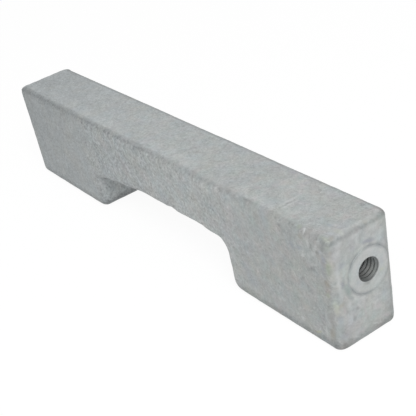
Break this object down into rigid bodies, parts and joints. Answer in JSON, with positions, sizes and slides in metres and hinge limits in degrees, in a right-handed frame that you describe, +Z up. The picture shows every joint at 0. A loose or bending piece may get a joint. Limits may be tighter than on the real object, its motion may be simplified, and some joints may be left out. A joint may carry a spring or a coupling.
{
  "type": "sacrificial anode",
  "caption": "Cast anode bar on two feet with a clearance notch between them and a threaded steel insert in each end, bolted between the arms of a boat motor's bracket.",
  "frame": {"origin": "on the plane of the feet, at the middle of the bar's length and width", "axes": "+X along the bar, +Y across it, +Z up from the feet to the plain top face"},
  "size_m": [0.2248, 0.0276, 0.0458],
  "materials": {
    "casting": "dull grey as-cast skin, sanded on top",
    "insert": "dull plated steel"
  },
  "bodies": {
    "root": {"anode_casting": "casting", "threaded_insert_right": "insert", "threaded_insert_left": "insert"}
  },
  "joints": []
}
